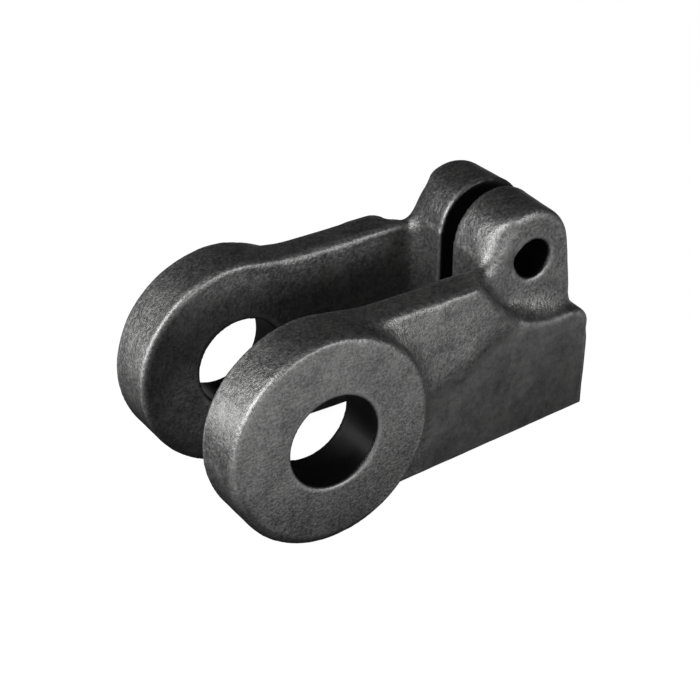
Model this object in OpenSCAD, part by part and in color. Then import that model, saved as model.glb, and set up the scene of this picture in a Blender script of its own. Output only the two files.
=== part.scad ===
// Tension rod clevis with a split, bolt-clamped rod socket.
// Frame: the origin is on the pin axis midway between the arms, X runs to the rod end, Z runs up to the clamp ears.

/* [Pin eyes] */
// Diameter of the cross pin
pin_d = 25.4; // [22:0.1:28]
// Room round the pin, on the diameter
pin_room = 0.4; // [0.2:0.1:0.8]
// Metal round the pin bore
eye_wall = 16.5; // [14:0.1:18]
// Thickness of one eye along the pin
eye_w = 15.2; // [14:0.1:17.5]
// Distance of the eye outline ahead of the pin axis
eye_lead = 0.8; // [0:0.1:2]
// Height of the eye outline over the pin axis
eye_lift = 0.1; // [0:0.1:1]
// Rounding of the eye edges
eye_round = 1; // [0.6:0.1:3]
// Bevel at the mouths of the pin bore
bore_bevel = 0.6; // [0.3:0.1:1]

/* [Arms] */
// Clear width between the two arms
jaw_gap = 30.6; // [28:0.1:33]
// Distance from the pin axis to the throat of the jaw
throat_x = 55.2; // [54:0.1:57]
// Corner radius of the throat in plan
throat_round = 4; // [3:0.5:8]
// Height of the arm tops over the pin axis
arm_rise = 27.5; // [26:0.1:28]
// Radius of the hollow between an eye and its arm top
waist_r = 110; // [60:5:150]
// Depth of the body under the pin axis
arm_drop = 23.9; // [22:0.1:25]
// Width of the top face of one arm
arm_top_w = 10.2; // [9:0.1:12]
// Rounding of the long arm edges
arm_round = 1.2; // [0.8:0.1:3]

/* [Rod socket] */
// Distance from the pin axis to the rear face
body_l = 89; // [88.5:0.5:94]
// Outer diameter of the rod thread
rod_d = 27; // [22:0.5:28]
// Pitch of the rod thread
rod_pitch = 2; // [1:0.25:3]
// Bevel at the mouth of the rod hole
rod_bevel = 1.2; // [0.5:0.1:2]
// Forward lean of the rear face, in degrees
rear_lean = 0.6; // [0:0.1:2]
// Radius of the rear shoulder
shoulder_r = 5; // [3:0.1:6]

/* [Flanks] */
// Half width of the lower flank at the parting line, behind the eyes
flank_half = 26; // [25.5:0.1:27]
// Distance from the pin axis at which that half width is measured
flank_x = 36; // [32:0.5:40]
// Narrowing of the lower flank towards the rod end, in degrees
flank_taper = 4.5; // [3:0.1:5]
// Draft of the flank under the parting line, in degrees
draft_low = 2; // [1:0.1:4]
// Draft of the flank over the parting line, in degrees
draft_high = 3; // [2:0.1:6]
// Height of the parting line along the arms
part_low = 5.2; // [3:0.1:7]
// Height of the parting line after its step
part_high = 12.5; // [11:0.1:14]
// Distance from the throat forward to the foot of that step
step_back = 12.9; // [11:0.1:15]
// Length of the step
step_l = 14; // [10:0.5:16]

/* [Clamp ears] */
// Diameter of the clamp bolt
bolt_d = 10; // [8:0.5:11]
// Room round the clamp bolt, on the diameter
bolt_room = 1; // [0.4:0.1:1.4]
// Distance from the pin axis to the bolt axis
bolt_x = 69.9; // [69:0.1:71]
// Height of the bolt axis over the pin axis
bolt_z = 26.9; // [26:0.1:28]
// Radius of the ears at the middle plane
ear_r = 13.8; // [13:0.1:14.5]
// Distance of the ear outline ahead of the bolt axis
ear_lead = 0.8; // [0:0.1:1.5]
// Height of the ear outline over the bolt axis
ear_lift = 1.1; // [0:0.1:1.5]
// Width over both ears
ear_span = 38; // [36:0.1:39]
// Draft of the ears towards their outer sides, in degrees
ear_draft = 2; // [0:0.5:4]
// Rounding of the ear edges
ear_round = 2.2; // [1:0.1:3]
// Rounding of the front corners of the ears
nose_round = 4; // [3:0.5:7]
// Slope of those corners, in degrees
nose_slope = 53; // [48:1:58]
// Width of the clamping slit
slit_w = 5.4; // [4.5:0.1:6.5]
// Distance from the rear face to the foot of the ears
ear_set = 4.2; // [3:0.1:6]
// Fillet in front of the ears
ear_fillet = 5; // [3:0.5:7]

/* [Bolt pockets] */
// Distance from the throat forward to the top of the ramp
ramp_back = 6; // [5:0.5:8]
// Slope of the ramp from the arm tops, in degrees
ramp_slope = 50.5; // [46:0.5:54]
// Radius of the pocket floor in side view
floor_r = 33; // [30:0.5:36]
// Height of the lowest point of the pocket floor
floor_z = 8.5; // [7.5:0.1:10]
// Distance of that point behind the bolt axis
floor_back = 8.8; // [6:0.2:11]
// Fillet between the pocket floor and the ear
floor_fillet = 4; // [3:0.5:6]
// Fillet between the ramp and the ear
ramp_fillet = 3.5; // [3:0.5:6]
// Rounding between the ramp and the flank
ramp_round = 3.5; // [1:0.5:4]

/* [Hidden] */
$fn = 72;
far = 200;
nip = 0.03;
over = 1;
bore_r = (pin_d + pin_room) / 2;
eye_r = bore_r + eye_wall;
gap_half = jaw_gap / 2;
eye_half = gap_half + eye_w;
top_half = gap_half + arm_top_w;
ear_half = ear_span / 2;
tap_r = (rod_d - rod_pitch) / 2;
bolt_r = (bolt_d + bolt_room) / 2;
step_x = throat_x - step_back;
ramp_x = throat_x - ramp_back;
corner_x = ramp_x + (arm_rise - part_high) / tan(ramp_slope);
floor_x = bolt_x + floor_back;
ramp_turn = atan(sin(ramp_slope) * tan(draft_high));
waist_l = sqrt(max(1, pow(eye_r + waist_r, 2) - pow(arm_rise + waist_r - eye_lift, 2)));
waist_x = waist_l - eye_lead;
ear_x = bolt_x - ear_lead;
ear_z = bolt_z + ear_lift;
rim_y = ear_half - ear_round;
rim_r = ear_r - rim_y * tan(ear_draft) - ear_round / cos(ear_draft);
tip_r = rim_r + ear_round;
foot_z = arm_rise + ear_fillet;
foot_x = ear_x - sqrt(pow(tip_r + ear_fillet, 2) - pow(foot_z - ear_z, 2));
neck_x = body_l - ear_set;
neck_turn = atan2(floor_z - ear_z, neck_x - ear_x) + acos(tip_r / norm([neck_x - ear_x, floor_z - ear_z]));
neck_top = [ear_x + tip_r * cos(neck_turn), ear_z + tip_r * sin(neck_turn)];
steps = 12;

function ease(t) = t * t * (3 - 2 * t);
part_line = [for (i = [0 : steps]) [step_x + step_l * i / steps, part_low + (part_high - part_low) * ease(i / steps)]];
function rear_x(z) = body_l - (z + arm_drop) * tan(rear_lean);
shoulder_z = floor_z - shoulder_r;

// Gives a side view, drawn with x along the rod and y upwards, a width across the jaw.
module side_block(half) {
    translate([0, half, 0])
        rotate([90, 0, 0])
            linear_extrude(height = 2 * half)
                children();
}

// A disc along Y from y = 0 with both rims rounded.
module rounded_disc(r, w, rim) {
    rotate([-90, 0, 0])
        rotate_extrude()
            union() {
                square([r - rim, w]);
                translate([0, rim])
                    square([r, w - 2 * rim]);
                translate([r - rim, rim])
                    circle(rim, $fn = 20);
                translate([r - rim, w - rim])
                    circle(rim, $fn = 20);
            }
}

// A bar along X that rounds an edge whose metal lies on the minus side of y and z; room is its reach past the edge.
module edge_bar(r, room = over) {
    rotate([90, 0, 90])
        linear_extrude(height = far)
            difference() {
                translate([nip - r, nip - r])
                    square(r + room);
                translate([nip - r, nip - r])
                    circle(r, $fn = 32);
            }
}

module both_sides() {
    for (side = [0, 1])
        mirror([0, side, 0])
            children();
}

// The space outside one drafted flank.
module outside_flank(half, z, taper, draft) {
    translate([flank_x, half, z])
        rotate([-draft, 0, -taper])
            translate([-far, 0, -far])
                cube([2 * far, far, 2 * far]);
}

// The forging under the parting line, with the rear shoulder.
module lower_body() {
    difference() {
        side_block(eye_half)
            union() {
                polygon(concat(
                    [[-eye_lead, -arm_drop], [body_l, -arm_drop], [rear_x(shoulder_z), shoulder_z]],
                    [[rear_x(shoulder_z) - shoulder_r, shoulder_z + shoulder_r], [corner_x, part_high]],
                    [for (i = [steps : -1 : 0]) part_line[i]],
                    [[-eye_lead, part_low]]));
                translate([rear_x(shoulder_z) - shoulder_r, shoulder_z])
                    circle(shoulder_r, $fn = 32);
            }
        both_sides()
            outside_flank(flank_half, part_low, flank_taper, draft_low);
    }
}

// Rounds the two edges of one hollow behind an eye.
module hollow_edges() {
    intersection() {
        translate([waist_x, 0, arm_rise + waist_r])
            rotate([-90, 0, 0])
                rotate_extrude($fn = 144)
                    translate([waist_r, 0]) {
                        difference() {
                            translate([-arm_round, gap_half - arm_round])
                                square(2 * arm_round);
                            translate([arm_round, gap_half + arm_round])
                                circle(arm_round + nip, $fn = 32);
                        }
                        difference() {
                            translate([-arm_round, top_half - arm_round])
                                square(2 * arm_round);
                            translate([arm_round, top_half - arm_round])
                                circle(arm_round + nip, $fn = 32);
                        }
                    }
        translate([waist_x - far, -far, -far])
            cube([far, 2 * far, 2 * far]);
    }
}

// The forging over the parting line, with the hollows behind the eyes and the ramps rounded into its flanks.
module upper_body() {
    difference() {
        side_block(eye_half)
            union() {
                polygon(concat(
                    [[-eye_lead, arm_rise], [-eye_lead, part_low]],
                    part_line,
                    [[ear_x, part_high], [ear_x, arm_rise]]));
                difference() {
                    polygon([[-eye_lead, eye_lift], [waist_x, arm_rise + waist_r], [waist_x, eye_lift]]);
                    translate([waist_x, arm_rise + waist_r])
                        circle(waist_r + nip, $fn = 144);
                }
            }
        both_sides() {
            outside_flank(top_half, arm_rise, 0, -draft_high);
            translate([waist_x, top_half, arm_rise])
                edge_bar(arm_round);
            hollow_edges();
            translate([ramp_x, top_half, arm_rise])
                rotate([0, ramp_slope, 0])
                    rotate([0, 0, ramp_turn])
                        translate([-ramp_back, 0, 0])
                            edge_bar(ramp_round, top_half - ear_half);
        }
    }
}

// One ear: a drafted round boss from the middle plane outwards, with its outer rim and front corner rounded.
module clamp_ear() {
    translate([ear_x, 0, ear_z])
        difference() {
            rotate([-90, 0, 0])
                rotate_extrude()
                    union() {
                        polygon([
                            [0, 0],
                            [ear_r, 0],
                            [rim_r + ear_round * cos(ear_draft), rim_y + ear_round * sin(ear_draft)],
                            [rim_r, rim_y],
                            [rim_r, ear_half],
                            [0, ear_half]]);
                        translate([rim_r, rim_y])
                            circle(ear_round, $fn = 20);
                    }
            rotate([0, -nose_slope, 0])
                translate([-far / 2, ear_half, tip_r])
                    edge_bar(nose_round);
        }
}

// The solid behind the throat that carries the ears.
module neck() {
    difference() {
        side_block(ear_half)
            polygon([
                [throat_x - throat_round - over, -arm_drop],
                [neck_x, -arm_drop],
                [neck_x, floor_z],
                neck_top,
                [ear_x, ear_z],
                [throat_x, arm_rise],
                [throat_x - throat_round - over, arm_rise]]);
        both_sides()
            translate([neck_top[0], ear_half, neck_top[1]])
                rotate([0, 90 - neck_turn, 0])
                    translate([-ear_round, 0, 0])
                        edge_bar(ear_round);
    }
}

// The hollow fillet that leads from the arm tops up to the front of the ears.
module ear_foot() {
    side_block(ear_half - ear_round / 2)
        difference() {
            polygon([
                [foot_x, arm_rise - arm_round],
                [foot_x, foot_z],
                [ear_x, ear_z],
                [ear_x, arm_rise - arm_round]]);
            translate([foot_x, foot_z])
                circle(ear_fillet + nip);
        }
}

// The room for a bolt head or nut beside one ear: a dished floor, and a ramp rounded into the ear.
module bolt_pocket() {
    intersection() {
        translate([floor_x, ear_half, floor_z + floor_r])
            rounded_disc(floor_r, far, floor_fillet);
        translate([ramp_x, ear_half, arm_rise])
            rotate([0, ramp_slope - 90, 0])
                translate([0, 0, -far])
                    linear_extrude(height = 2 * far)
                        union() {
                            translate([ramp_fillet, 0])
                                square(far);
                            translate([0, ramp_fillet])
                                square(far);
                            translate([ramp_fillet, ramp_fillet])
                                circle(ramp_fillet + nip);
                        }
    }
}

// The space between the arms, rounded at the throat.
module jaw_space() {
    translate([0, 0, -far])
        linear_extrude(height = 2 * far)
            union() {
                translate([-far, -gap_half])
                    square([far + throat_x - throat_round, jaw_gap]);
                translate([-far, -gap_half + throat_round])
                    square([far + throat_x, jaw_gap - 2 * throat_round]);
                for (side = [-1, 1])
                    translate([throat_x - throat_round, side * (gap_half - throat_round)])
                        circle(throat_round);
            }
    both_sides() {
        translate([waist_x, -gap_half, arm_rise])
            intersection() {
                edge_bar(arm_round);
                translate([0, -far, -far])
                    cube([throat_x - throat_round - waist_x, 2 * far, 2 * far]);
            }
        intersection() {
            translate([throat_x - throat_round, gap_half - throat_round, arm_rise])
                rotate_extrude()
                    difference() {
                        translate([throat_round - over, nip - arm_round])
                            square([arm_round + over - nip, arm_round + over]);
                        translate([throat_round + arm_round - nip, nip - arm_round])
                            circle(arm_round, $fn = 32);
                    }
            translate([-far, -far, -far])
                cube([far + foot_x, 2 * far, 2 * far]);
        }
    }
}

module pin_bore() {
    translate([0, far, 0])
        rotate([90, 0, 0])
            cylinder(r = bore_r, h = 2 * far);
    both_sides()
        translate([0, eye_half - bore_bevel, 0])
            rotate([-90, 0, 0])
                cylinder(r1 = bore_r, r2 = bore_r + 2 * bore_bevel, h = 2 * bore_bevel);
}

module rod_hole() {
    translate([throat_x - throat_round, 0, 0])
        rotate([0, 90, 0])
            cylinder(r = tap_r, h = far);
    translate([body_l - rod_bevel, 0, 0])
        rotate([0, 90, 0])
            cylinder(r1 = tap_r, r2 = tap_r + 2 * rod_bevel, h = 2 * rod_bevel);
    translate([throat_x - throat_round, -slit_w / 2, 0])
        cube([far, slit_w, far]);
}

module clevis() {
    color([0.2, 0.2, 0.21])
        difference() {
            union() {
                difference() {
                    union() {
                        lower_body();
                        upper_body();
                    }
                    both_sides()
                        bolt_pocket();
                    jaw_space();
                }
                difference() {
                    union() {
                        neck();
                        ear_foot();
                    }
                    jaw_space();
                }
                both_sides()
                    translate([-eye_lead, gap_half, eye_lift])
                        rounded_disc(eye_r, eye_w, eye_round);
                both_sides()
                    clamp_ear();
            }
            pin_bore();
            rod_hole();
            translate([bolt_x, far, bolt_z])
                rotate([90, 0, 0])
                    cylinder(r = bolt_r, h = 2 * far);
        }
}

clevis();
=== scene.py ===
# %% [markdown]
# # A forged rod clevis, rebuilt from a photograph
# The part itself was drawn as an exact solid. This file loads that solid, gives it the softened
# edges and the rough dark skin of a drop forging, puts a thread into its rod hole, and photographs
# it on a white table. Read the cells in order: each one makes one thing and prints what it made.

# %% Load the part and note its size
import math

import bpy
import bmesh
import numpy as np
from mathutils import Matrix, Vector


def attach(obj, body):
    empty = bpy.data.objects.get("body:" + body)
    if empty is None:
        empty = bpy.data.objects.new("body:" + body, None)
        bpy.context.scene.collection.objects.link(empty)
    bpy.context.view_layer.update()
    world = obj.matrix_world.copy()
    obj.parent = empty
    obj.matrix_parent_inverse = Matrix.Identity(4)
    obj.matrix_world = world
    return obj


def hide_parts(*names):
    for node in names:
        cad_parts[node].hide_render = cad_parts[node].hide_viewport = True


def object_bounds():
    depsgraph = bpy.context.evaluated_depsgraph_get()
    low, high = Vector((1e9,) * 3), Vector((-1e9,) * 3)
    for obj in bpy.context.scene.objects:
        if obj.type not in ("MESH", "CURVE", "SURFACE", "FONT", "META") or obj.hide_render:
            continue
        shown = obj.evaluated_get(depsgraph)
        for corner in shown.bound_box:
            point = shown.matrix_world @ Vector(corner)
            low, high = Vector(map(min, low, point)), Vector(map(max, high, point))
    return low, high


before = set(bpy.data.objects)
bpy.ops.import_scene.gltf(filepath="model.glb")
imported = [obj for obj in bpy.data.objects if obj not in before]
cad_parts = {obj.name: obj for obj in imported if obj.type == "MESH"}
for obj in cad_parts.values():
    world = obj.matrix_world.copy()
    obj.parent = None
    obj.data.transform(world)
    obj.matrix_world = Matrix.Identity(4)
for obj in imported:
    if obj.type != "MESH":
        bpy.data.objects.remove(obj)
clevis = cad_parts["clevis"]
box_at_load = [list(corner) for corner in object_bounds()]
print("clevis:", len(clevis.data.vertices), "vertices; box in metres",
      np.round(box_at_load, 4).tolist())

# %% [markdown]
# ## The camera
# The camera was found by matching the outlines of the holes and faces in the photograph. It stands
# in front of the jaw, a little to the left, and looks down by about thirty degrees. A long lens
# keeps the two arms nearly parallel, as a product photographer would want. Its rotation is written
# as three axes: right, up and back.

# %% Camera
MM = 0.001
AZIMUTH, ELEVATION, ROLL = (math.radians(angle) for angle in (-33.589, 30.845, 0.449))
DISTANCE = 481.41 * MM
TARGET = np.array([2.77, -32.60, 27.24]) * MM
LENS = 101.39


def direction(turn, lift):
    """The unit vector at two angles: a turn of 0 is -Y, a quarter turn is +X, and lift is up."""
    flat = math.cos(lift)
    return np.array([math.sin(turn) * flat, -math.cos(turn) * flat, math.sin(lift)])


back = direction(AZIMUTH, ELEVATION)
level = np.array([math.cos(AZIMUTH), math.sin(AZIMUTH), 0.0])
upward = np.cross(back, level)
right = level * math.cos(ROLL) + upward * math.sin(ROLL)
up = upward * math.cos(ROLL) - level * math.sin(ROLL)
eye = TARGET + back * DISTANCE

scene = bpy.context.scene
camera = bpy.data.objects.new("camera", bpy.data.cameras.new("camera"))
scene.collection.objects.link(camera)
camera.matrix_world = Matrix(np.vstack([np.column_stack([right, up, back, eye]), [0, 0, 0, 1]]))
camera.data.lens = LENS
camera.data.sensor_width = 36
camera.data.clip_start = 0.01
camera.data.clip_end = 20
scene.camera = camera
scene.view_settings.view_transform = "Standard"
print("camera at", np.round(eye / MM, 1).tolist(), "mm with a", LENS, "mm lens")

# %% [markdown]
# ## How the clevis rests
# The clevis rests on the lowest points of its two eyes and on the rear edge of its underside, so it
# leans back by a few degrees. The clevis never moves in this file; the table is tilted to touch
# those points instead. Seen from the side, the table runs from the lowest point of the eyes to the
# point behind it that has the least slope. Vertices are read into one array, which is far quicker
# than visiting them one by one.

# %% Find the resting line
REAR_REACH = 20 * MM


def read(collection, field, width, kind=np.float32):
    """One field of every mesh element, as an array with that many columns."""
    values = np.empty(len(collection) * width, kind)
    collection.foreach_get(field, values)
    return values.reshape(-1, width)


side_view = read(clevis.data.vertices, "co", 3).astype(float)[:, [0, 2]]
front_low = side_view[np.argmin(side_view[:, 1])]
run, climb = (side_view - front_low).T
slopes = np.where(run < REAR_REACH, np.inf, climb / np.maximum(run, REAR_REACH))
rear_low = side_view[np.argmin(slopes)]
lean = math.atan2(rear_low[1] - front_low[1], rear_low[0] - front_low[0])
print("rests at x %.1f and %.1f mm; leans %.2f degrees"
      % (front_low[0] / MM, rear_low[0] / MM, math.degrees(lean)))

# %% [markdown]
# ## The forged skin
# A drawn solid has razor edges; a forging never does. A bevel on every edge would be one way, but
# it fails where many small faces meet. The steps here are those of a sculptor: copy the solid, weld
# its doubled vertices, rebuild it from small even squares, and lay the squares back on the solid.
# The result is one closed mesh.

# %% Rebuild the solid from even squares
SQUARE, WELD = 0.66 * MM, 0.002 * MM
welded = bmesh.new()
welded.from_mesh(clevis.data)
bmesh.ops.remove_doubles(welded, verts=welded.verts, dist=WELD)
solid = bpy.data.meshes.new("welded")
welded.to_mesh(solid)
welded.free()

shell = bpy.data.objects.new("shell", solid)
pattern = bpy.data.objects.new("pattern", solid)
for helper in (shell, pattern):
    scene.collection.objects.link(helper)
even = shell.modifiers.new("even squares", "REMESH")
even.mode = "VOXEL"
even.voxel_size = SQUARE
follow = shell.modifiers.new("follow the solid", "SHRINKWRAP")
follow.target = pattern
follow.wrap_method = "NEAREST_SURFACEPOINT"
depsgraph = bpy.context.evaluated_depsgraph_get()
skin_mesh = bpy.data.meshes.new_from_object(shell.evaluated_get(depsgraph))
for helper in (shell, pattern):
    bpy.data.objects.remove(helper)

place = read(skin_mesh.vertices, "co", 3).astype(float)
edges = read(skin_mesh.edges, "vertices", 2, np.int32)
triangles = (read(skin_mesh.polygons, "loop_total", 1, np.int32) - 2).sum()
print("skin:", len(place), "vertices,", triangles, "triangles")

# %% [markdown]
# ## Relax the squares
# Where the grid of squares crosses a face at an angle it leaves faint steps. Each vertex is drawn
# towards the mean of its neighbours, which rounds the edges and takes out the steps. Doing only
# that would shrink the part, so each step inwards is followed by a slightly longer step outwards.

# %% Relax the skin
def neighbour_mean(values):
    """The mean of each vertex's neighbours: sums over its edges, divided by their number."""
    first, second = edges.T
    count = np.bincount(edges.ravel(), minlength=len(values))
    total = [np.bincount(first, column[second], len(values))
             + np.bincount(second, column[first], len(values)) for column in values.T]
    return np.stack(total, axis=1) / count[:, None]


def relax(values, steps, inwards=0.6, outwards=0.0):
    """Moves values towards their neighbours' mean, and back by the outward share, in steps."""
    for _ in range(steps):
        values = values + inwards * (neighbour_mean(values) - values)
        values = values - outwards * (neighbour_mean(values) - values)
    return values


as_cut = place
place = relax(place, steps=9, inwards=0.55, outwards=0.57)
print("relaxed by up to %.2f mm" % (np.linalg.norm(place - as_cut, axis=1).max() / MM))

# %% [markdown]
# ## Where the cutters went
# After forging, the holes are drilled and the slit is sawn. Those faces stay true and smooth, while
# the rest keeps its forged form, so both the shape and the finish need to know how far each vertex
# is from a cut. The distance to a round hole is the distance to its axis less its radius. `forged`
# is 0 in a cut and 1 a little way outside it.

# %% Tell forged faces from cut ones
PIN_BORE, ROD_BORE, BOLT_BORE = 12.9 * MM, 12.5 * MM, 5.5 * MM
BOLT_X, BOLT_Z = 69.9 * MM, 26.9 * MM
SLIT_HALF, THROAT = 2.7 * MM, 52.0 * MM
CLEAR_OF_CUTS = 1.0
FORGED_FROM, FORGED_FADE = 0.2 * MM, 1.5 * MM


def cut_depth(points):
    """Distance outside the nearest drilled hole or the sawn slit; below zero inside one."""
    x, y, z = points.T
    pin = np.hypot(x, z) - PIN_BORE
    bolt = np.hypot(x - BOLT_X, z - BOLT_Z) - BOLT_BORE
    behind = x > THROAT
    rod = np.where(behind, np.hypot(y, z) - ROD_BORE, CLEAR_OF_CUTS)
    slit = np.where(behind & (z > 0), np.abs(y) - SLIT_HALF, CLEAR_OF_CUTS)
    return np.min([pin, bolt, rod, slit], axis=0)


forged = np.clip((cut_depth(place) - FORGED_FROM) / FORGED_FADE, 0, 1)
print("forged faces: %.0f %% of the vertices" % (100 * forged.mean()))

# %% [markdown]
# ## Zones of the forging
# Some places need their own treatment, so each gets a mask between 0 and 1 that fades at its
# limits. The limits are along X, outwards from the middle plane, and up Z. Both sides share them,
# because the part is symmetrical. `pocket` is the bolt's seat in the flank, `ramp` the slope from the
# arm up to the ear, `nose` the front of the ear, `eye_foot` the valley round the eye, and `crook`
# the bend where the arm leaves the eye. The line where the two dies parted steps up towards the rod
# end; `step` follows its S, which is the smoothstep curve.

# %% Mark the zones
PART_LOW, PART_HIGH = 5.2 * MM, 12.5 * MM
STEP_FROM, STEP_TO = 42.3 * MM, 56.3 * MM


def smoothstep(share):
    """0 up to 0, 1 from 1 on, and an S between."""
    share = share.clip(0, 1)
    return share * share * (3 - 2 * share)


def zone(*limits):
    """The product of soft windows: (values, low, high, width of the fade), the last three in mm."""
    return np.prod([smoothstep(np.minimum(values - low * MM, high * MM - values) / (fade * MM) + 1)
                    for values, low, high, fade in limits], axis=0)


def coordinates(places):
    """X, the distance out from the middle plane, and Z, of every vertex."""
    return places[:, 0], np.abs(places[:, 1]), places[:, 2]


x, side, z = coordinates(place)
s_curve = smoothstep((x - STEP_FROM) / (STEP_TO - STEP_FROM))
part_line = PART_LOW + (PART_HIGH - PART_LOW) * s_curve
pocket = zone((x, 64, 90, 4), (side, 17, 27, 2), (z, 2, 12, 4))
ramp = zone((x, 46, 62, 3), (side, 18, 28, 2), (z, 13, 30, 3))
nose = zone((x, 54, 63, 3), (side, 13, 20, 3), (z, 27, 36, 4))
eye_foot = zone((np.hypot(x, z), 27, 42, 3), (side, 22, 31, 2), (x, 8, 60, 6), (z, 0, 60, 8))
crook = zone((x, 14, 36, 5), (side, 12, 34, 2), (z, 20, 40, 4))
step = zone((z - part_line, -3, 3, 3), (side, 22, 28, 2), (x, 30, 62, 6))
wide = np.max([pocket, eye_foot, crook], axis=0) * forged
print("vertices in wide fillets: %d, on the step: %d" % ((wide > 0.5).sum(), (step > 0.5).sum()))

# %% [markdown]
# ## Fill the inner corners
# Steel doesn't flow into a sharp inner corner of a die, so every inside corner of a forging is a
# generous fillet. A much softer copy of the skin lies above the skin wherever it is hollow; the
# skin is raised to it there, and nowhere else. The wide fillets are raised in several rounds, with
# new normals each time, so that they don't wrinkle. The foot of the ramp stays crisp. The step in
# the parting line and the noses of the ears are softened both ways.

# %% Fill the inner corners
SOFT, SETTLED, EVENED = 50, 10, 6
CRISP_RAMP = 0.8


def normals(places):
    """Writes these places into the skin's mesh and reads its vertex normals."""
    skin_mesh.vertices.foreach_set("co", places.ravel())
    skin_mesh.update()
    return read(skin_mesh.vertices, "normal", 3)


unfilled = place
for share in [forged * (1 - CRISP_RAMP * ramp), wide, wide, wide]:
    facing = normals(place)
    fill = np.sum((relax(place, SOFT) - place) * facing, axis=1).clip(0) * share
    place = place + facing * relax(fill[:, None], EVENED) * forged[:, None]
place = place + wide[:, None] * (relax(place, SETTLED) - place)
place = place + np.maximum(step, nose)[:, None] * (relax(place, SOFT) - place)
print("raised or softened by up to %.2f mm"
      % (np.linalg.norm(place - unfilled, axis=1).max() / MM))

# %% [markdown]
# ## Straighten the lower edge
# The grid of squares crosses the slanted lower edge of each flank at a narrow angle, which leaves
# it slightly wavy. The flank's plane is found by least squares from the skin itself. The vertices
# near the edge are then set on a true rounding between that plane and the underside: each keeps its
# direction from the rounding's centre line.

# %% Round the lower edge of the flanks
HEM, HEM_INNER, HEM_OUTER = 1.0 * MM, 0.6, 1.5
EDGE_FROM, FLANK_OUT = 19 * MM, 20 * MM
FACING_DOWN = -0.99
x, side, z = coordinates(place)
underside = np.median(z[(x > THROAT) & (normals(place)[:, 2] < FACING_DOWN) & (z < -ROD_BORE)])
low_flank = (zone((x, 46, 84, 1), (z - underside, 2, 6, 1)) == 1) & (side > FLANK_OUT)
plane_terms = np.stack([np.ones_like(x), x, z], axis=1)
flank_plane = np.linalg.lstsq(plane_terms[low_flank], side[low_flank], rcond=None)[0]
inside_flank = plane_terms @ flank_plane - side

from_centre = np.stack([inside_flank, z - underside], axis=1) - HEM
far_out = np.linalg.norm(from_centre, axis=1)
in_corner = ((from_centre < 0) & (from_centre > -HEM_OUTER * HEM)).all(axis=1)
on_edge = in_corner & (far_out > HEM_INNER * HEM) & (x > EDGE_FROM)
rounded = from_centre * (HEM / far_out)[:, None] + HEM
new_z = underside + rounded[:, 1]
new_side = np.stack([np.ones_like(x), x, new_z], axis=1) @ flank_plane - rounded[:, 0]
on_rounding = np.stack([x, np.sign(place[:, 1]) * new_side, new_z], axis=1)
place = np.where(on_edge[:, None], on_rounding, place)
print("underside at %.2f mm; %d vertices set on the edges" % (underside / MM, on_edge.sum()))

# %% [markdown]
# ## Measure the wear
# Comparing the skin with a softer copy of itself tells where it is convex. Those places rub against
# hands and benches and end up brighter, so the height over the softer copy is kept for the
# material, in millimetres.

# %% Measure the wear
WEAR_REACH = 14
facing = normals(place)
bulge = np.sum((place - relax(place, WEAR_REACH)) * facing, axis=1)[:, None]
bulge = relax(bulge, 1)[:, 0] / MM
print("bulge from %.2f to %.2f mm" % (bulge.min(), bulge.max()))

# %% [markdown]
# ## Room for the thread
# The rod hole of the solid has the diameter at which it is drilled before tapping. The thread is
# made later, as a sleeve of its own, so the skin's hole is widened over the sleeve's length to just
# past the roots of the thread. Pushing the vertices out from the axis does this with no cutting,
# and the mesh stays closed.

# %% Widen the rod hole
THREAD_FROM, THREAD_TO = 57 * MM, 86.5 * MM
THREAD_DEPTH, ROOT_ROOM, END_ROOM = 1.0 * MM, 0.2 * MM, 0.7 * MM
ROOT = ROD_BORE + THREAD_DEPTH
over_thread = zone((x, (THREAD_FROM + END_ROOM) / MM, (THREAD_TO - END_ROOM) / MM, 1))
widened = over_thread * (ROOT + ROOT_ROOM - ROD_BORE) + ROD_BORE
from_axis = np.hypot(place[:, 1], place[:, 2])
push = np.where((x > THREAD_FROM) & (x < THREAD_TO), np.maximum(widened / from_axis, 1), 1)
place = place * np.stack([np.ones_like(push), push, push], axis=1)
print("rod hole widened from %.1f to %.1f mm radius" % (ROD_BORE / MM, widened.max() / MM))

# %% [markdown]
# ## Uneven as forged
# Scale and worn dies leave a forging slightly wavy. Value noise gives that: a lattice of seeded
# random numbers, blended smoothly between its corners. Two sizes of wave are added along the vertex
# normals, up to a tenth of a millimetre high, and only outside the drilled holes, which a cutter
# leaves true.

# %% Add the waviness
LONG_WAVE, SHORT_WAVE = 9 * MM, 3.2 * MM
LONG_HEIGHT, SHORT_HEIGHT = 0.07, 0.045


def value_noise(points, cell, seed):
    """Random numbers on a lattice of this cell size, eased from corner to corner; from -1 to 1."""
    grid = points / cell - np.floor(points.min(axis=0) / cell) + 1
    corner = np.floor(grid).astype(int)
    part = smoothstep(grid - corner)
    lattice = np.random.default_rng(seed).uniform(-1, 1, corner.max(axis=0) + 2)
    total = np.zeros(len(points))
    for offset in np.ndindex(2, 2, 2):
        weight = np.prod(np.where(offset, part, 1 - part), axis=1)
        total += weight * lattice[tuple((corner + offset).T)]
    return total


wave = (LONG_HEIGHT * value_noise(place, LONG_WAVE, seed=3)
        + SHORT_HEIGHT * value_noise(place, SHORT_WAVE, seed=5))
place = place + facing * (wave * forged * MM)[:, None]
skin_mesh.vertices.foreach_set("co", place.ravel())
print("waves up to %.2f mm" % np.abs(wave).max())
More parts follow.
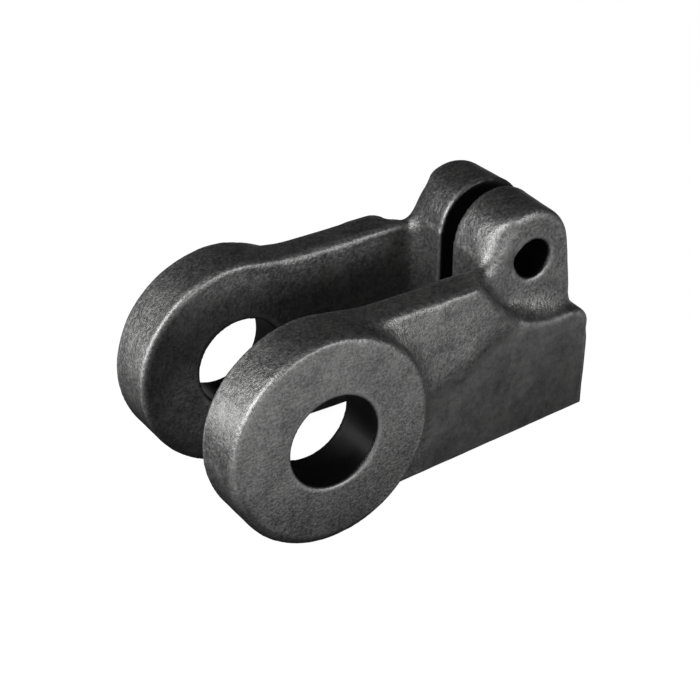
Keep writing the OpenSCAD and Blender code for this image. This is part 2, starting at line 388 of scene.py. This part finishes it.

# %% [markdown]
# ## The skin takes the solid's place
# The material will need what was measured here, so it is stored on the mesh as point attributes.
# A mask of painted shade darkens the insides of the jaw and the undersides of the eyes, where
# shade falls. `smooth` marks the lower flanks, which the die left cleaner than the rest. The skin
# then stands in for the solid in the look.

# %% Store the fields and make the skin
CUT_FROM, CUT_FADE = 0.15 * MM, 0.3 * MM
JAW_TOP, JAW_FADE = 24 * MM, 12 * MM
RIM_TOP, RIM_FADE, RIM_STRENGTH = -3 * MM, 9 * MM, 1.4
SMOOTH_FADE = 4 * MM
# Besides a smoother finish, the cut mask paints shade into the bores and the slit.
cut = 1 - np.clip((cut_depth(place) - CUT_FROM) / CUT_FADE, 0, 1)
# Painted shade: the inside of the jaw and the undersides of the eyes are darkened where shade falls.
jaw = zone((side, 0, 15.6, 0.6), (x, -40, 54, 2)) * ((JAW_TOP - z) / JAW_FADE).clip(0, 1)
low_rim = zone((np.hypot(x, z), 28, 40, 1), (x, -40, 10, 4)) * ((RIM_TOP - z) / RIM_FADE).clip(0, 1)
painted_shade = np.maximum(jaw, RIM_STRENGTH * low_rim)
smooth = zone((side, 20, 28, 2), (x, 34, 90, 6)) * ((part_line - z) / SMOOTH_FADE).clip(0, 1)
fields = {"wear": bulge, "forged": forged, "cut": cut, "painted_shade": painted_shade, "smooth": smooth}


def finish_mesh(mesh, name, fields):
    """Stores the fields on the mesh, shades it smooth, and returns a linked object with it."""
    for field, values in fields.items():
        layer = mesh.attributes.new(field, "FLOAT", "POINT")
        layer.data.foreach_set("value", values.ravel().astype(np.float32))
    mesh.shade_smooth()
    mesh.update()
    mesh.name = name
    made = bpy.data.objects.new(name, mesh)
    scene.collection.objects.link(made)
    return made


skin = finish_mesh(skin_mesh, "skin", fields)
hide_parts("clevis")
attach(skin, "root")
print("skin stands for the clevis, with the fields", list(fields))

# %% [markdown]
# ## A class for shader arithmetic
# A material is a small calculation. Wiring it node by node hides the formula, so this class wraps
# one socket and lets Python's own operators add the Math nodes. Plain numbers may stand on either
# side of an operator. `node` adds any other kind of node from its type, its settings and its
# inputs. A Mix node has sockets for each type of data, so its colour sockets go by number.

# %% Shader arithmetic
class Wire:
    """One output socket in a node tree; arithmetic on it adds nodes and returns the new socket."""

    def __init__(self, tree, socket=None):
        self.tree, self.socket = tree, socket

    def feed(self, target, value):
        """Links a wire to an input socket, or writes a plain number, colour or vector into it."""
        if isinstance(value, Wire):
            self.tree.links.new(value.socket, target)
        else:
            target.default_value = value

    def node(self, kind, settings=None, inputs=None, output=0):
        """Adds a node, applies settings and inputs by name or number, and returns one output."""
        made = self.tree.nodes.new(kind)
        for name, value in (settings or {}).items():
            setattr(made, name, value)
        for name, value in (inputs or {}).items():
            self.feed(made.inputs[name], value)
        return Wire(self.tree, made.outputs[output])

    def math(self, operation, *values):
        return self.node("ShaderNodeMath", {"operation": operation}, dict(enumerate(values)))

    def __add__(self, other): return self.math("ADD", self, other)
    def __radd__(self, other): return self.math("ADD", other, self)
    def __sub__(self, other): return self.math("SUBTRACT", self, other)
    def __rsub__(self, other): return self.math("SUBTRACT", other, self)
    def __mul__(self, other): return self.math("MULTIPLY", self, other)
    def __rmul__(self, other): return self.math("MULTIPLY", other, self)
    def __pow__(self, other): return self.math("POWER", self, other)
    def __neg__(self): return self.math("MULTIPLY", self, -1.0)
    def __abs__(self): return self.math("ABSOLUTE", self)

    def at_least(self, low):
        return self.math("MAXIMUM", self, low)

    def ramp(self, low, high, to_low=0.0, to_high=1.0):
        """Eases from to_low to to_high while this value goes from low to high."""
        limits = {"From Min": low, "From Max": high, "To Min": to_low, "To Max": to_high}
        return self.node("ShaderNodeMapRange", {"interpolation_type": "SMOOTHSTEP"},
                         {"Value": self, **limits})

    def mix(self, first, second):
        """The first colour where this value is 0, the second where it is 1."""
        first_in, second_in, colour_out = 6, 7, 2
        return self.node("ShaderNodeMix", {"data_type": "RGBA"},
                         {"Factor": self, first_in: first, second_in: second}, colour_out)

    def by_ray(self, others, camera):
        """The second shader for rays from the camera, the first for all other rays."""
        seen = self.node("ShaderNodeLightPath", output="Is Camera Ray")
        return self.node("ShaderNodeMixShader", None, {"Fac": seen, 1: others, 2: camera})


print("a wire can", [name for name in vars(Wire) if not name.startswith("__")])

# %% [markdown]
# ## Forged steel
# The finish is bare forged steel under a dark scale. Its grain comes from noise in object
# coordinates, measured in millimetres, so it stays put when the camera moves. An image of such a
# surface would be another way, but it would need unwrapping and would stretch at the corners. Here
# the fields that were stored on the skin come in as wires.

# %% Noise and stored fields for the finish
def new_material(name):
    """An empty material; returns it with a wire for adding nodes and its output node."""
    made = bpy.data.materials.new(name)
    made.use_nodes = True
    made.node_tree.nodes.clear()
    return made, Wire(made.node_tree), made.node_tree.nodes.new("ShaderNodeOutputMaterial")


def stored(name):
    """A field that was stored on the mesh."""
    return wire.node("ShaderNodeAttribute", {"attribute_name": name}, output="Fac")


def noise(scale, detail=3.0, roughness=0.55):
    """Noise with this many features to the millimetre; returns a value about 0.5."""
    return wire.node("ShaderNodeTexNoise", None,
                     {"Vector": in_mm, "Scale": scale, "Detail": detail, "Roughness": roughness})


steel, wire, steel_out = new_material("forged steel")
inside = wire.node("ShaderNodeTexCoord", output="Object")
in_mm = wire.node("ShaderNodeVectorMath", {"operation": "SCALE"}, {0: inside, "Scale": 1 / MM})
wear, rough_cast, cut_face = stored("wear"), stored("forged"), stored("cut")
painted_shade_face, smooth_face = stored("painted_shade"), stored("smooth")
patches, mottle, grain = noise(0.11), noise(0.42), noise(1.15, roughness=0.65)
print("noise and fields:", len(steel.node_tree.nodes), "nodes")

# %% [markdown]
# ## Colour of the steel
# Convex edges, read from `wear`, are rubbed to brighter metal. Hollows are darker, and painted shade
# darkens the insides of the jaw, the undersides of the eyes and, most of all, the drilled bores. One
# plain grey would be simpler, but the photograph shows speckles and paler edges, so noise of three
# sizes mixes dark and light scale.

# %% Colour of the forging
SCALE_DARK, SCALE_LIGHT = (0.16, 0.16, 0.16, 1), (0.44, 0.44, 0.435, 1)
WORN_DARK, WORN_LIGHT = (0.35, 0.35, 0.35, 1), (0.62, 0.62, 0.615, 1)
# The second colour here is painted shade for the jaw and the undersides of the eyes.
HOLLOW, PAINTED_SHADE_TONE = (0.10, 0.10, 0.10, 1), (0.08, 0.08, 0.08, 1)
# The next colour is painted shade for the drilled bores, the sawn slit and the thread.
PAINTED_BORE_SHADE = (0.035, 0.035, 0.035, 1)
HOLLOW_SHARE, WORN_SHARE, PAINTED_SHADE_TONE_SHARE = 0.15, 0.45, 0.6
coarse = rough_cast * (1.0 - 0.65 * smooth_face)
edge = (wear + 0.10 * (mottle - 0.5)).ramp(0.05, 0.26)
hollow = (-wear).ramp(0.03, 0.20)
scale_tone = 0.50 * patches + 0.40 * mottle + 0.90 * (0.5 + coarse * (grain - 0.5))
dark = scale_tone.ramp(0.60, 1.20).mix(SCALE_DARK, SCALE_LIGHT)
dark = (hollow * HOLLOW_SHARE).mix(dark, HOLLOW)
bright = grain.ramp(0.3, 0.7).mix(WORN_DARK, WORN_LIGHT)
colour = (edge * WORN_SHARE).mix(dark, bright)
# Painted shade: a darker colour inside the jaw and under the eyes.
colour = (painted_shade_face * PAINTED_SHADE_TONE_SHARE).mix(colour, PAINTED_SHADE_TONE)
# Painted shade in the drilled bores, the sawn slit and the thread: the cut faces are darkest.
colour = cut_face.mix(colour, PAINTED_BORE_SHADE)
print("colour:", len(steel.node_tree.nodes), "nodes so far")

# %% [markdown]
# ## Gloss and grain of the steel
# The same grain drives the gloss and a bump about a fifth of a millimetre high, so that the
# speckles look like a surface and not like paint. Moving the vertices would show the grain in the
# outline too, but it would take millions of them.

# %% Finish of the forging
ROUGH, WORN_ROUGH, CUT_SMOOTH, GRAIN_ROUGH = 0.44, 0.04, 0.06, 0.35
GRAIN_HEIGHT, MOTTLE_HEIGHT = 0.19, 0.04
roughness = ((ROUGH + WORN_ROUGH * edge - CUT_SMOOTH * cut_face)
             + GRAIN_ROUGH * coarse * (grain - 0.5))
height = coarse * (GRAIN_HEIGHT * grain + MOTTLE_HEIGHT * mottle)
bump = wire.node("ShaderNodeBump", None, {"Strength": 1.0, "Distance": MM, "Height": height})
metal = wire.node("ShaderNodeBsdfPrincipled", None, {
    "Base Color": colour, "Roughness": roughness, "Metallic": 0.9, "Normal": bump})
wire.feed(steel_out.inputs["Surface"], metal)
skin_mesh.materials.clear()
skin_mesh.materials.append(steel)
print("finish:", len(steel.node_tree.nodes), "nodes")

# %% [markdown]
# ## The thread in the rod hole
# A tap leaves a helix: the radius swings between crest and root once in every pitch along the axis,
# and the swing moves along by one pitch in every turn. A Screw modifier could wind it, but it would
# not stop at the slit. So the section below, a wavy inner line closed by a straight outer line, is
# swept round the axis from one edge of the sawn slit to the other.

# %% Sweep the thread
PITCH, SLEEVE_WALL = 2 * MM, 0.7 * MM
SLEEVE = ROOT + SLEEVE_WALL
SLIT_MARGIN = 1.08
CREST_FLAT, FLANK = 0.12, 0.74


def swept_thread(turn_steps=150, steps_in_pitch=12):
    """Rings round X; the radius follows a clipped triangle wave of x / pitch - angle / turn."""
    slit_edge = math.asin(SLIT_MARGIN * SLIT_HALF / ROD_BORE)
    angle = np.linspace(slit_edge, 2 * math.pi - slit_edge, turn_steps)[:, None]
    steps = int(round((THREAD_TO - THREAD_FROM) / PITCH * steps_in_pitch))
    along = np.linspace(THREAD_FROM, THREAD_TO, steps + 1)[None, :]
    phase = along / PITCH - angle / (2 * math.pi)
    triangle = np.abs(2 * (phase - np.floor(phase)) - 1)
    depth = ((triangle - CREST_FLAT) / FLANK).clip(0, 1)
    outer = np.ones((turn_steps, 2))
    ring_x = np.concatenate([np.broadcast_to(along, depth.shape),
                             outer * [THREAD_TO, THREAD_FROM]], axis=1)
    ring_r = np.concatenate([ROD_BORE + (ROOT - ROD_BORE) * depth, outer * SLEEVE], axis=1)
    crest = np.concatenate([1 - depth, outer * 0], axis=1)
    return np.stack([ring_x, ring_r * np.sin(angle), ring_r * np.cos(angle)], axis=2), crest


rings, crest = swept_thread()
turns, around = rings.shape[:2]
print("thread:", turns, "sections of", around, "points")

# %% [markdown]
# ## Make the thread a piece
# Neighbouring sections are joined by quads, and the first and last section close the ends. Rolling
# the numbers by one along a section gives each quad its next corner, with no loop. The crests count
# as worn, the roots as cut; the cut share also paints shade on the thread, most at the roots. The
# sleeve sits in the widened hole.

# %% Thread
# The cut shares below also set how much painted shade the roots and the crests get.
CREST_WEAR, ROOT_CUT, CREST_CUT = 0.2, 0.7, 0.2
index = np.arange(turns * around).reshape(turns, around)
onward = np.roll(index, -1, axis=1)
quads = np.stack([index[:-1], index[1:], onward[1:], onward[:-1]], axis=2).reshape(-1, 4)
faces = quads.tolist() + [index[0].tolist(), index[-1, ::-1].tolist()]
thread_mesh = bpy.data.meshes.new("thread")
thread_mesh.from_pydata(rings.reshape(-1, 3).tolist(), [], faces)
thread_mesh.validate()
thread_mesh.materials.append(steel)
thread = finish_mesh(thread_mesh, "thread", {
    "wear": CREST_WEAR * crest, "cut": ROOT_CUT + (CREST_CUT - ROOT_CUT) * crest})
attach(thread, "root")
measured = bmesh.new()
measured.from_mesh(thread_mesh)
volume = measured.calc_volume(signed=True) / MM ** 3
measured.free()
print("thread: %d faces, volume %.0f mm3" % (len(faces), volume))

# %% [markdown]
# ## The table
# The table is one large square, tilted to touch the three points on which the clevis rests. A
# tilted clevis on a level table would look the same, but the part has to stay in its own frame. The
# table belongs to the stage and not to the part.

# %% Table
TABLE_HALF = 3.0
sheet = TABLE_HALF * np.array([(-1, -1), (1, -1), (1, 1), (-1, 1)])
heights = front_low[1] + math.tan(lean) * (sheet[:, 0] - front_low[0])
table_mesh = bpy.data.meshes.new("table")
table_mesh.from_pydata(np.column_stack([sheet, heights]).tolist(), [], [(0, 1, 2, 3)])
table = bpy.data.objects.new("table", table_mesh)
scene.collection.objects.link(table)
print("table heights at its corners in mm:", np.round(heights / MM, 1).tolist())

# %% [markdown]
# ## The paper on the table
# Dark metal shows little but what it mirrors, and in the photograph the faces mirror a table that
# is bright out in the light and dark close to the part. So the paper has two looks. To the camera
# it is white and takes the shadow. To every other ray it glows, in a pool before the part and a
# weaker one behind it, and fades to dark near the part.

# %% White paper
POOL_AT, REAR_POOL_AT = (-5 * MM, -95 * MM), (180 * MM, 110 * MM)
BLACK, WHITE, CARD = (0, 0, 0, 1), (1, 1, 1, 1), (0.11, 0.11, 0.11, 1)
SHEEN_STRENGTH, PAPER_GLOW = 0.8, 0.985
paper, wire, paper_out = new_material("white paper")
spot = wire.node("ShaderNodeTexCoord", output="Object")
along, across = (wire.node("ShaderNodeSeparateXYZ", None, {0: spot}, axis) for axis in "XY")


def length(first, second):
    """The hypotenuse of two wires."""
    return (first ** 2.0 + second ** 2.0) ** 0.5


(low_x, low_y, _), (high_x, high_y, _) = box_at_load
past_x = abs(along - (low_x + high_x) / 2) - (high_x - low_x) / 2
past_y = abs(across) - (high_y - low_y) / 2
away = length(past_x.at_least(0.0), past_y.at_least(0.0))
from_pool = length(along - POOL_AT[0], across - POOL_AT[1])
from_rear = length(along - REAR_POOL_AT[0], across - REAR_POOL_AT[1])
pools = from_pool.ramp(50 * MM, 180 * MM, 1.0, 0.20) + from_rear.ramp(60 * MM, 200 * MM, 0.7, 0.0)
# Painted light and painted shadow: the glow is brightest in the pools and fades to dark near the
# part.
sheen = away.ramp(5 * MM, 75 * MM, 0.05, 0.78) * pools

card = wire.node("ShaderNodeBsdfDiffuse", None, {"Color": CARD})
lit = wire.node("ShaderNodeEmission", None,
                {"Color": sheen.mix(BLACK, WHITE), "Strength": SHEEN_STRENGTH})
glow = wire.node("ShaderNodeEmission", None, {"Color": WHITE, "Strength": PAPER_GLOW})
white = wire.node("ShaderNodeAddShader", None, {0: glow, 1: card})
wire.feed(paper_out.inputs["Surface"], wire.by_ray(lit, white))
table_mesh.materials.append(paper)
print("paper:", len(paper.node_tree.nodes), "nodes")

# %% [markdown]
# ## The white behind the part
# A product photograph is cut out on white. A white world would do that too, but it would light the
# metal from all sides and wash it out. So the world is white to the camera and almost black to
# every other ray, and the metal mirrors a dark room.

# %% Sky
ROOM = (0.015, 0.015, 0.015, 1)
world = bpy.data.worlds.new("studio")
scene.world = world
world.use_nodes = True
world.node_tree.nodes.clear()
wire = Wire(world.node_tree)
sky_out = world.node_tree.nodes.new("ShaderNodeOutputWorld")
room, white = (wire.node("ShaderNodeBackground", None, {"Color": tone, "Strength": 1.0})
               for tone in (ROOM, WHITE))
wire.feed(sky_out.inputs["Surface"], wire.by_ray(room, white))
print("sky:", len(world.node_tree.nodes), "nodes")

# %% [markdown]
# ## Studio light
# Five soft boxes do the rest, each where the photograph shows its mirror image. The one at the left
# makes the rims of the eyes and the fronts of the ears bright; the one in front, the edges of the
# arms; the low one at the corner, the noses of the ears; the one beside the camera, the edges that
# face it; and a tiny one behind, the near rim. Each is placed by its direction from the part, its
# size, its power and its distance.

# %% Lamps
def soft_box(name, azimuth, elevation, size, power, distance=0.9, aim=(0, 0, 0)):
    """A square area lamp aimed at a point in mm, from a direction in degrees: 0 is -Y, 90 is +X."""
    towards = direction(math.radians(azimuth), math.radians(elevation))
    lamp = bpy.data.objects.new(name, bpy.data.lights.new(name, "AREA"))
    lamp.data.size, lamp.data.energy = size, power
    lamp.visible_camera = False
    lamp.location = Vector(np.array(aim) * MM + towards * distance)
    lamp.rotation_euler = Vector(towards).to_track_quat("Z", "Y").to_euler()
    scene.collection.objects.link(lamp)


NEAR_RIM = (-28, -24, 6)
soft_box("left", -97, 35, size=0.22, power=0.90, distance=0.32, aim=NEAR_RIM)
soft_box("front", 20, 14, size=0.22, power=2.0)
soft_box("corner", -56, 10, size=0.30, power=1.2)
soft_box("flash", -36, 31, size=0.15, power=0.5)
soft_box("rim", -138, 5, size=0.04, power=0.014, distance=0.09, aim=NEAR_RIM)
